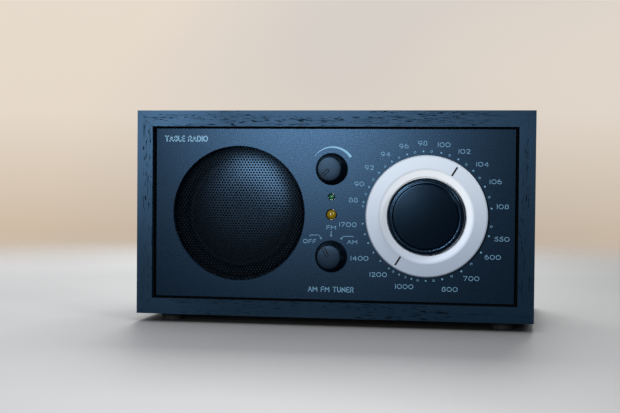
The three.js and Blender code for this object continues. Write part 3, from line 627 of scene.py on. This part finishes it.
def make_grille():
    """Perforated sheet, pressed into a shallow dome: one hexagonal cell round each hole."""
    pitch, hole, sheet = 1.58 * MM, 0.55 * MM, 0.5 * MM
    reach = 36.3 * MM
    rim, rise = FRONT + 5.9 * MM, 1.7 * MM
    corner = pitch / math.sqrt(3)
    row = pitch * math.sqrt(3) / 2
    bm = bmesh.new()
    rows = int(reach / row) + 1
    sides = 12
    for j in range(-rows, rows + 1):
        for i in range(-rows - 1, rows + 2):
            cx, cz = (i + 0.5 * (j % 2)) * pitch, j * row
            if math.hypot(cx, cz) > reach:
                continue
            turn = [math.pi / 6 * k for k in range(sides)]
            # Even steps point at the cell's corners, odd ones at the middles of its sides.
            edge = [corner if k % 2 else pitch / 2 for k in range(sides)]
            inside = [hole] * sides
            cell = [[bm.verts.new((cx + r * math.cos(a), depth, cz + r * math.sin(a)))
                     for a, r in zip(turn, radii)]
                    for depth, radii in ((0, edge), (0, inside), (sheet, inside), (sheet, edge))]
            skin(bm, cell)
    bmesh.ops.remove_doubles(bm, verts=bm.verts, dist=0.02 * MM)
    for vert in bm.verts:
        r = math.hypot(vert.co.x, vert.co.z)
        vert.co += Vector((SPEAKER.x, rim - rise * (1 - (r / SPEAKER_OPENING) ** 4), SPEAKER.z))
    finished("perforated_grille", bm, GRILLE_PAINT, "cabinet", ["speaker_grille"], "grille_metal", crease=60)


# ---- Printing ----
INK = 0.03 * MM  # how far the ink stands out of the panel, and how far it reaches in


def arc(cx, cy, rx, ry, start, end, steps=10):
    """Part of an ellipse, with angles in degrees, anticlockwise from the right."""
    return [(cx + rx * math.cos(math.radians(start + (end - start) * i / steps)),
             cy + ry * math.sin(math.radians(start + (end - start) * i / steps))) for i in range(steps + 1)]


# Each character is (width, strokes), on a height of 1.
GLYPHS = {
    "0": (1.06, [arc(0.53, 0.5, 0.50, 0.5, 0, 360, 22)]),
    "1": (0.16, [[(0.08, 0), (0.08, 1)]]),
    "2": (0.86, [arc(0.43, 0.70, 0.38, 0.30, 165, -25, 10) + [(0.05, 0.0), (0.84, 0.0)]]),
    "4": (0.98, [[(0.72, 0.0), (0.72, 1.0), (0.04, 0.27), (0.94, 0.27)]]),
    "5": (0.84, [[(0.76, 1.0), (0.17, 1.0), (0.12, 0.56)] + arc(0.40, 0.31, 0.40, 0.31, 128, -155, 14)]),
    "6": (0.92, [arc(0.46, 0.32, 0.42, 0.32, 0, 360, 18), arc(0.62, 0.34, 0.58, 0.66, 175, 98, 8)]),
    "7": (0.88, [[(0.04, 1.0), (0.84, 1.0), (0.30, 0.0)]]),
    "8": (0.90, [arc(0.45, 0.76, 0.33, 0.24, 0, 360, 16), arc(0.45, 0.27, 0.41, 0.27, 0, 360, 18)]),
    "9": (0.92, [arc(0.46, 0.68, 0.42, 0.32, 0, 360, 18), arc(0.30, 0.66, 0.58, 0.66, -5, -82, 8)]),
    "A": (0.98, [[(0.02, 0), (0.49, 1), (0.96, 0)], [(0.20, 0.36), (0.78, 0.36)]]),
    "B": (0.80, [[(0.06, 0), (0.06, 1)] + arc(0.45, 0.76, 0.26, 0.24, 90, -90, 8) + [(0.06, 0.52)],
                 arc(0.45, 0.26, 0.31, 0.26, 90, -90, 8) + [(0.06, 0)]]),
    "C": (0.92, [arc(0.53, 0.5, 0.48, 0.5, 50, 310, 16)]),
    "D": (0.95, [[(0.06, 0), (0.06, 1)] + arc(0.40, 0.5, 0.50, 0.5, 90, -90, 14) + [(0.06, 0)]]),
    "E": (0.72, [[(0.70, 1), (0.06, 1), (0.06, 0), (0.72, 0)], [(0.06, 0.52), (0.58, 0.52)]]),
    "F": (0.78, [[(0.76, 1), (0.06, 1), (0.06, 0)], [(0.06, 0.50), (0.62, 0.50)]]),
    "H": (0.90, [[(0.06, 0), (0.06, 1)], [(0.84, 0), (0.84, 1)], [(0.06, 0.5), (0.84, 0.5)]]),
    "I": (0.14, [[(0.07, 0), (0.07, 1)]]),
    "L": (0.66, [[(0.06, 1), (0.06, 0), (0.66, 0)]]),
    "M": (1.14, [[(0.06, 0), (0.06, 1), (0.57, 0.34), (1.08, 1), (1.08, 0)]]),
    "N": (0.92, [[(0.06, 0), (0.06, 1), (0.86, 0), (0.86, 1)]]),
    "O": (1.10, [arc(0.55, 0.5, 0.52, 0.5, 0, 360, 22)]),
    "P": (0.84, [[(0.06, 0), (0.06, 1)] + arc(0.50, 0.73, 0.28, 0.27, 90, -90, 8) + [(0.06, 0.46)]]),
    "R": (0.86, [[(0.06, 0), (0.06, 1)] + arc(0.50, 0.74, 0.28, 0.26, 90, -90, 8) + [(0.06, 0.48)],
                 [(0.46, 0.48), (0.84, 0)]]),
    "S": (0.80, [arc(0.41, 0.74, 0.34, 0.26, 30, 270, 12) + arc(0.41, 0.25, 0.37, 0.25, 90, -150, 12)[1:]]),
    "T": (0.86, [[(0.02, 1), (0.84, 1)], [(0.43, 1), (0.43, 0)]]),
    "U": (0.90, [[(0.06, 1), (0.06, 0.40)] + arc(0.45, 0.38, 0.39, 0.38, 180, 360, 12) + [(0.84, 1)]]),
    "X": (0.90, [[(0.04, 0), (0.86, 1)], [(0.04, 1), (0.86, 0)]]),
    " ": (0.45, []),
}


def lettering(text, at_x, at_z, height, width=None):
    """Strokes of a line of text centred on the point, in metres. width fits it to that length."""
    gap = 0.28
    advances = [GLYPHS[c][0] + gap for c in text]
    total = (sum(advances) - gap) * height
    squeeze = width / total if width else 1.06
    strokes, cursor = [], at_x - total * squeeze / 2
    for c, advance in zip(text, advances):
        for stroke in GLYPHS[c][1]:
            strokes.append([(cursor + px * height * squeeze, at_z + (pz - 0.5) * height)
                            for px, pz in stroke])
        cursor += advance * height * squeeze
    return strokes


def ring(at_x, at_z, radius):
    return arc(at_x, at_z, radius, radius, 0, 360, 16)


def printed(name, strokes, width, front, material=PRINT, slot="panel_paint"):
    """Ink lines of even width that stand just proud of the surface at depth front."""
    bm = bmesh.new()
    for stroke in strokes:
        closed = math.dist(stroke[0], stroke[-1]) < 1e-7
        for run in ([stroke] if closed else runs(stroke)):
            ribbon(bm, [Vector(p) for p in run], width, front, closed)
    return finished(name, bm, material, "cabinet", slot=slot)


def runs(stroke):
    """Splits a line at its sharp corners."""
    out, current = [], [stroke[0]]
    for before, here, after in zip(stroke, stroke[1:], stroke[2:]):
        current.append(here)
        if (Vector(here) - Vector(before)).angle(Vector(after) - Vector(here)) > math.radians(40):
            out.append(current)
            current = [here]
    return out + [current + [stroke[-1]]]


def ribbon(bm, points, width, front, closed):
    """One line of ink, with a square section."""
    if closed:
        points = points[:-1]
    count = len(points)
    sections = []
    for i, here in enumerate(points):
        before = points[i - 1] if closed or i else here
        after = points[(i + 1) % count] if closed or i < count - 1 else here
        way = (after - before).normalized()
        across = Vector((-way.y, way.x)) * width / 2
        # The ends of an open line reach half a width further, so that lines meet in full corners.
        at = here if closed or 0 < i < count - 1 else here + way * (width / 2 if i else -width / 2)
        corners = ((at - across, INK), (at + across, INK), (at + across, -INK), (at - across, -INK))
        sections.append([bm.verts.new((q.x, front - rise, q.y)) for q, rise in corners])
    skin(bm, sections, closed, caps=not closed)


# Where the dots of the scale are, in degrees clockwise from the top.
FM_MARKS = {88: -78.1, 90: -63.9, 92: -48.3, 94: -33.0, 96: -17.9, 98: -3.3, 100: 12.5, 102: 28.5,
            104: 45.0, 106: 62.3, 108: 82.5}
AM_MARKS = {1700: -97.5, 1400: -125.2, 1200: -144.9, 1000: -167.1, 800: 165.4, 700: 147.1, 600: 123.0,
            550: 107.0}
AM_PLAIN_DOTS = (-107.1, -115.5, -135.0, -155.5, -179.9)
HOLLOW_DOTS = (-81.8, -70.8, -56.1, -40.4, -25.7, -10.9, 3.9, 20.1, 36.8, 53.4, 72.3, 98.4, 136.2, 156.7,
               173.1, -172.8, -161.6, -149.8)
# The middle of each number, right of and above the middle of the dial, in millimetres.
NUMBERS = {98: (-2.43, 38.17), 100: (8.72, 37.41), 102: (19.28, 33.96), 104: (28.7, 27.37),
           106: (35.55, 18.36), 108: (39.39, 5.46), 96: (-12.23, 36.58), 94: (-21.81, 32.35),
           92: (-30.42, 25.22), 90: (-35.64, 16.52), 88: (-38.72, 7.99), 1700: (-41.51, -5.03),
           1400: (-35.17, -22.78), 1200: (-25.12, -31.16), 1000: (-11.36, -37.19), 800: (12.44, -38.08),
           700: (23.63, -32.18), 600: (34.51, -20.89), 550: (39.12, -11.39)}


def make_printing():
    dot_circle = 33.95
    digit = 2.15 * MM
    strokes = []
    for number, (dx, dz) in NUMBERS.items():
        strokes += lettering(str(number), DIAL.x + dx * MM, DIAL.z + dz * MM, digit)
    printed("dial_numbers", strokes, 0.28 * MM, PANEL)
    for name, angles, radius, width in (
        ("dial_dots", [*FM_MARKS.values(), *AM_MARKS.values(), *AM_PLAIN_DOTS], 0.24, 0.46),
        ("dial_rings", HOLLOW_DOTS, 0.48, 0.20),
    ):
        places = [clockwise(DIAL, dot_circle, a, PANEL) for a in angles]
        printed(name, [ring(p.x, p.z, radius * MM) for p in places], width * MM, PANEL)

    # Band names round the lower knob, each with a line to its dot.
    x, z = BAND.x, BAND.z
    band_circle = 11.0
    dots = [clockwise(BAND, band_circle, a, PANEL) for a in (-30, 0, 30)]
    off, fm, am = [(d.x, d.z) for d in dots]

    def at(right, above):
        return x + right * MM, z + above * MM

    lines = [[at(-11.4, 10.4), at(-11.3, 11.15), at(-6.5, 11.2), off],
             [at(11.8, 10.3), at(11.6, 10.8), at(6.5, 10.7), am], [fm, at(0, 13.3)]]
    printed("band_lines", lines, 0.26 * MM, PANEL)
    printed("band_dots", [ring(px, pz, 0.24 * MM) for px, pz in (off, fm, am)], 0.46 * MM, PANEL)
    names = lettering("OFF", *at(-11.6, 7.85), 1.95 * MM, width=6.9 * MM)
    names += lettering("AM", *at(11.3, 7.85), 1.85 * MM, width=5.2 * MM)
    names += lettering("FM", *at(0, 15.3), 1.9 * MM, width=5.0 * MM)
    printed("band_names", names, 0.27 * MM, PANEL)

    # Plain generic wording where such radios carry their marks.
    title = lettering("TABLE RADIO", -79.6 * MM, UNDER + 94.9 * MM, 2.7 * MM, width=23.5 * MM)
    printed("title", title, 0.58 * MM, PANEL, material=TITLE_PRINT)
    caption = lettering("AM FM TUNER", 0, UNDER + 15.2 * MM, 2.5 * MM, width=24.4 * MM)
    printed("caption", caption, 0.36 * MM, PANEL)

    # The volume arc grows from a hairline to a broad end.
    bm = bmesh.new()
    steps, start, end = 40, -54.5, 58
    near, far = PANEL - 0.05 * MM, PANEL + 0.03 * MM
    sections = []
    for i in range(steps + 1):
        t = i / steps
        angle = start + (end - start) * t
        inner, outer = 11.25, 11.42 + 1.25 * t
        sections.append([bm.verts.new(clockwise(VOLUME, r, angle, y))
                         for r, y in ((inner, near), (outer, near), (outer, far), (inner, far))])
    skin(bm, sections, caps=True)
    finished("volume_arc", bm, TITLE_PRINT, "cabinet", slot="panel_paint")


# ---- Knobs, dial and lamps ----
def slot_cutter(at, degrees, outline, front, depth):
    """A prism of that outline, turned outwards at that angle. Sizes are in millimetres."""
    bm = bmesh.new()
    y0, y1 = FRONT + (front - 2) * MM, FRONT + (front + depth) * MM
    near = [bm.verts.new((px * MM, y0, pz * MM)) for px, pz in outline]
    far = [bm.verts.new((px * MM, y1, pz * MM)) for px, pz in outline]
    bm.faces.new(near)
    bm.faces.new(reversed(far))
    for i in range(len(outline)):
        j = (i + 1) % len(outline)
        bm.faces.new((near[i], far[i], far[j], near[j]))
    turn = Matrix.Rotation(math.radians(degrees), 4, "Y")
    bmesh.ops.transform(bm, matrix=Matrix.Translation((at.x, 0, at.z)) @ turn, verts=bm.verts)
    return bm


def moat_cutter(at, degrees, start, end, width, moat, front, depth):
    """The narrow moat round an index bar that runs outwards at that angle, with one round end."""
    outer, inner = width / 2, width / 2 - moat
    outline = [(-outer, end)] + arc(0, start, outer, outer, 180, 360, 12) + [(outer, end), (inner, end)]
    outline += arc(0, start, inner, inner, 360, 180, 12) + [(-inner, end)]
    return slot_cutter(at, degrees, outline, front, depth)


def make_small_knob(name, node, at, body, degrees):
    """degrees is where its index bar points, clockwise from the top."""
    face = (low(node).y - FRONT) / MM
    back = (high(node).y - FRONT) / MM
    profile = [(0, face + 0.02), (3.5, face + 0.04), (6.05, face + 0.12, 0.4), (6.5, face + 0.55, 0.35),
               (8.0, back - 1.1, 0.6), (8.5, back - 0.5, 0.3), (8.5, back, 0.15), (6.7, back), (6.7, -1.2),
               (3.3, -1.2), (3.3, face + 2.4), (0, face + 2.4)]
    knob = turned(name, profile, at, KNOB_BLACK, body, 160, replaces=[node], slot="black_plastic")
    # The moat's cut faces get the near-black matte as painted shade in the groove.
    carved(knob, moat_cutter(at, degrees, start=1.2, end=9, width=1.8, moat=0.46, front=face, depth=0.9),
           MARK_AND_MOAT_SHADE)


def make_tuning():
    face = (low("tuning_knob").y - FRONT) / MM
    knob_back = (high("tuning_knob").y - FRONT) / MM
    shaft, hollow, rim = 3.3, 18.4, 20  # radii
    knob = turned("tuning_knob_moulding", [
        (0, face + 0.03), (9, face + 0.07), (16.6, face + 0.20, 1.5), (17.4, face + 0.5, 0.4),
        (17.5, face + 0.9, 0.1), (18.0, face + 0.9, 0.1), (18.1, face + 0.25, 0.15), (19.0, face + 0.45, 0.6),
        (rim, face + 1.7, 0.8), (rim, knob_back), (hollow, knob_back), (hollow, -3.6), (5, -3.6),
        (5, knob_back - 0.4), (shaft, knob_back - 0.4), (shaft, -4.0), (0, -4.0)],
        DIAL, KNOB_GLOSS, "tuning_control", 192, replaces=["tuning_knob"], slot="black_plastic")
    line = [(-0.15, 12.8), (0.15, 12.8), (0.15, 15.1), (-0.15, 15.1)]
    carved(knob, slot_cutter(DIAL, 30, line, face + 0.15, 0.1))

    ring_front = (low("dial_ring").y - FRONT) / MM
    ring_back = (PANEL - FRONT) / MM - 0.5
    turned("dial_disc", [
        (31.9, ring_back), (31.9, ring_front + 0.4, 0.3), (31.3, ring_front, 0.5), (25.0, ring_front, 2.4),
        (20.6, ring_front + 0.4, 0.2), (20.6, knob_back + 0.4), (shaft, knob_back + 0.4), (shaft, 8.0),
        (5, 8.0), (5, ring_back), (31.9, ring_back)],
        DIAL, SILVER, "dial", 256, replaces=["dial_ring"], slot="dial_silver")
    half_width, inner, outer = 0.5 * MM, 24.9 * MM, 30.3 * MM
    for number, degrees in ((1, 31.8), (2, 211.8)):
        bm = bmesh.new()
        turn = Matrix.Rotation(math.radians(degrees), 4, "Y")
        box_mesh(bm, (-half_width, FRONT + (ring_front - 0.03) * MM, inner),
                 (half_width, FRONT + (ring_front + 0.1) * MM, outer))
        bmesh.ops.transform(bm, matrix=Matrix.Translation((DIAL.x, 0, DIAL.z)) @ turn, verts=bm.verts)
        finished(f"pointer_mark_{number}", bm, MARK_AND_MOAT_SHADE, "dial", slot="black_plastic")


def make_lamps():
    for node, material, slot in (("power_led", GREEN_LENS, "led_green"),
                                 ("tuning_led", AMBER_LENS, "led_amber")):
        r = lamp_radius(node) / MM
        tip = (low(node).y - FRONT) / MM
        angles = [math.pi / 16 * i for i in range(9)]
        dome = [(r * math.sin(a), tip + r * 0.8 * (1 - math.cos(a))) for a in angles]
        profile = dome + [(r, 5.8), (r + 0.5, 5.8), (r + 0.5, 6.8), (r, 6.8), (r, 9.5), (0, 9.5)]
        turned(node + "_lens", profile, centre(node), material, "cabinet", 64, replaces=[node], slot=slot)


# ---- Rear ----
def make_sockets():
    seat = (REAR - FRONT) / MM + 0.3
    jack = [(0, 104), (3.2, 104), (3.2, seat), (4.2, seat), (4.2, seat + 1.2, 0.3), (2.4, seat + 1.2, 0.3),
            (1.85, seat + 0.7), (1.85, 105.5), (0, 105.5)]
    power = [(0, 104), (4, 104), (4, seat), (5.6, seat), (5.6, seat + 1.2, 0.35), (3.4, seat + 1.2, 0.3),
             (2.9, seat + 0.7), (2.9, 107), (1.05, 107), (1.05, seat - 1, 0.3), (0, seat - 1)]
    for node, profile in (("headphone_socket", jack), ("record_socket", jack), ("aux_socket", jack),
                          ("dc_socket", power)):
        turned(node + "_collar", profile, centre(node), SOCKET_PLASTIC, "cabinet", 64, replaces=[node],
               slot="black_plastic")


def make_rear_labels():
    """Plain words over the sockets. They are drawn as on the front, then turned round to the back."""
    strokes = []
    for node, text, above in (("headphone_socket", "PHONES", 7.5), ("record_socket", "REC OUT", 7.5),
                              ("aux_socket", "AUX IN", 7.5), ("dc_socket", "DC IN", 8.8),
                              ("mains_inlet", "AC IN", 9.6), ("fm_antenna_socket", "FM ANT", 9.5),
                              ("antenna_switch", "ANTENNA", 6.0)):
        at = centre(node)
        strokes += lettering(text, -at.x, at.z + above * MM, 1.8 * MM)
    labels = printed("rear_labels", strokes, 0.27 * MM, -REAR, material=LABEL_PRINT, slot="black_plastic")
    labels.data.transform(Matrix.Rotation(math.pi, 4, "Z"))


make_camera()
make_cabinet()
make_panel()
make_gasket()
make_grille()
make_printing()
make_small_knob("volume_knob_moulding", "volume_knob", VOLUME, "volume_control", degrees=-135)
make_small_knob("band_knob_moulding", "band_knob", BAND, "band_control", degrees=-30)
make_tuning()
make_lamps()
make_sockets()
make_rear_labels()

# ---- CAD pieces that keep their own shape ----
KEPT = {
    DARK_WOOD: ("left_rail", "right_rail"),
    STEEL: ("speaker_basket", "volume_pot", "band_switch", "capacitor_frame", "transformer_core",
            "fm_antenna_socket", "antenna_switch", "rear_screw_1", "rear_screw_2", "rear_screw_3",
            "rear_screw_4", "volume_shaft", "band_shaft", "tuning_shaft", "planet_carrier"),
    BRASS: ("volume_nut", "band_nut", "sun_gear", "capacitor_rotor", "mains_pin_1", "mains_pin_2"),
    FERRITE: ("speaker_magnet", "ferrite_antenna"),
    PAPER: ("speaker_cone", "dust_cap"),
    CLOTH: ("speaker_spider",),
    COPPER: ("voice_coil", "transformer_coil"),
    NYLON: ("ring_gear", "planet_gear_1", "planet_gear_2", "planet_gear_3"),
    SOLDER_MASK: ("main_board",),
    RUBBER: ("speaker_surround", "foot_1", "foot_2", "foot_3", "foot_4"),
    REAR_PLASTIC: ("rear_panel",),
    SOCKET_PLASTIC: ("mains_inlet", "antenna_slider", "bass_port"),
}
for material, nodes in KEPT.items():
    for node in nodes:
        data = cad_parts[node].data
        data.materials.clear()
        data.materials.append(material)


# ---- Floor, lights and background ----
def make_stage():
    """A pale round floor."""
    bm = bmesh.new()
    bmesh.ops.create_circle(bm, cap_ends=True, segments=96, radius=6)
    mesh = bpy.data.meshes.new("floor")
    bm.to_mesh(mesh)
    bm.free()
    s = Shader("pale_floor")
    cloud = s.noise(6, 3)
    pale = s.mix(s.ramp(cloud, (0.3, 0.0), (0.7, 1.0)), (0.47, 0.47, 0.475), (0.51, 0.51, 0.515))
    # Painted shade: it is paler on the left and darker towards the right, as where the radio's shadow falls,
    # and darkest close under the feet, where an occlusion term darkens its colour.
    right = s.spread(s.axis(s.coordinates, "X"), (-0.1, 0), (0.3, 1))
    pale = s.mix(s.math("MULTIPLY", right, 0.8), pale, (0.15, 0.15, 0.15))
    painted_contact_shade = s.node("ShaderNodeAmbientOcclusion")
    painted_contact_shade.inputs["Distance"].default_value = 12 * MM
    pale = s.mix(1, pale, s.ramp(painted_contact_shade.outputs["AO"], (0.0, 0.0), (0.9, 1.0)), blend="MULTIPLY")
    # It looks pale, but throws little light back up at the dark front.
    seen = s.node("ShaderNodeLightPath").outputs["Is Camera Ray"]
    s.set(base_color=s.mix(seen, (0.07, 0.075, 0.08), pale))
    s.join(s.math("MULTIPLY", seen, 0.2), s.surface.inputs["Specular IOR Level"])
    s.join(s.ramp(cloud, (0.3, 0.50), (0.7, 0.56)), s.surface.inputs["Roughness"])
    # It fades out with distance, so that its edge is as soft as a far table's.
    s.join(s.spread(s.vector("LENGTH", s.coordinates), (0.35, 1), (0.85, 0)), s.surface.inputs["Alpha"])
    mesh.materials.append(s.material)
    floor = bpy.data.objects.new("floor", mesh)
    bpy.context.scene.collection.objects.link(floor)


def make_light(name, place, target, size, power, colour):
    data = bpy.data.lights.new(name, "AREA")
    data.shape = "RECTANGLE"
    data.size, data.size_y = size
    data.energy = power
    data.color = colour
    lamp = bpy.data.objects.new(name, data)
    lamp.location = place
    lamp.rotation_euler = (Vector(target) - Vector(place)).to_track_quat("-Z", "Y").to_euler()
    bpy.context.scene.collection.objects.link(lamp)


def make_world():
    """A pale room. The camera sees it warm and evenly pale. Its light is cooler and comes mostly from above
    and behind, as from windows there, so that the dark front isn't washed out."""
    world = bpy.data.worlds.new("studio")
    bpy.context.scene.world = world
    world.use_nodes = True
    n = Nodes(world.node_tree, "Generated")
    height = n.spread(n.axis(n.coordinates, "Z"), (-0.20, 0), (0.30, 1), "LINEAR")
    room = n.ramp(height, (0.0, (0.52, 0.51, 0.50)), (0.18, (0.50, 0.485, 0.46)), (0.31, (0.57, 0.475, 0.38)),
                  (0.50, (0.73, 0.66, 0.59)), (1.0, (0.75, 0.69, 0.64)))
    tint = n.ramp(n.noise(2.6, 1.0), (0.35, (0.90, 0.92, 0.95)), (0.65, (1.08, 1.05, 1.0)))
    towards_window = n.vector("DOT_PRODUCT", n.coordinates, (-0.15, 0.50, 0.85))
    shining = n.ramp(towards_window, (0.15, (0.02, 0.024, 0.03)), (0.5, (0.25, 0.25, 0.25)),
                     (0.9, (0.95, 0.975, 1.0)))

    for_camera = n.tree.nodes["Background"]
    for_light = n.node("ShaderNodeBackground")
    n.join(n.mix(1, room, tint, blend="MULTIPLY"), for_camera.inputs["Color"])
    n.join(shining, for_light.inputs["Color"])
    choice = n.node("ShaderNodeMixShader")
    n.join(n.node("ShaderNodeLightPath").outputs["Is Camera Ray"], choice.inputs["Fac"])
    n.join(for_light.outputs[0], choice.inputs[1])
    n.join(for_camera.outputs[0], choice.inputs[2])
    n.join(choice.outputs[0], n.tree.nodes["World Output"].inputs["Surface"])


make_stage()
make_light("key", place=(-0.17, -0.95, 0.195), target=(0, 0, 0.06), size=(0.20, 0.20), power=4.6,
           colour=(0.97, 0.98, 1))
make_light("side", place=(0.50, -0.50, 0.42), target=(0, 0, 0.05), size=(0.25, 0.25), power=2.0,
           colour=(0.95, 0.97, 1))
make_light("window", place=(-0.06, 0.85, 0.85), target=(0, 0, 0), size=(0.7, 0.5), power=12,
           colour=(1, 0.99, 0.97))
make_world()

bpy.context.scene.view_settings.view_transform = "Standard"
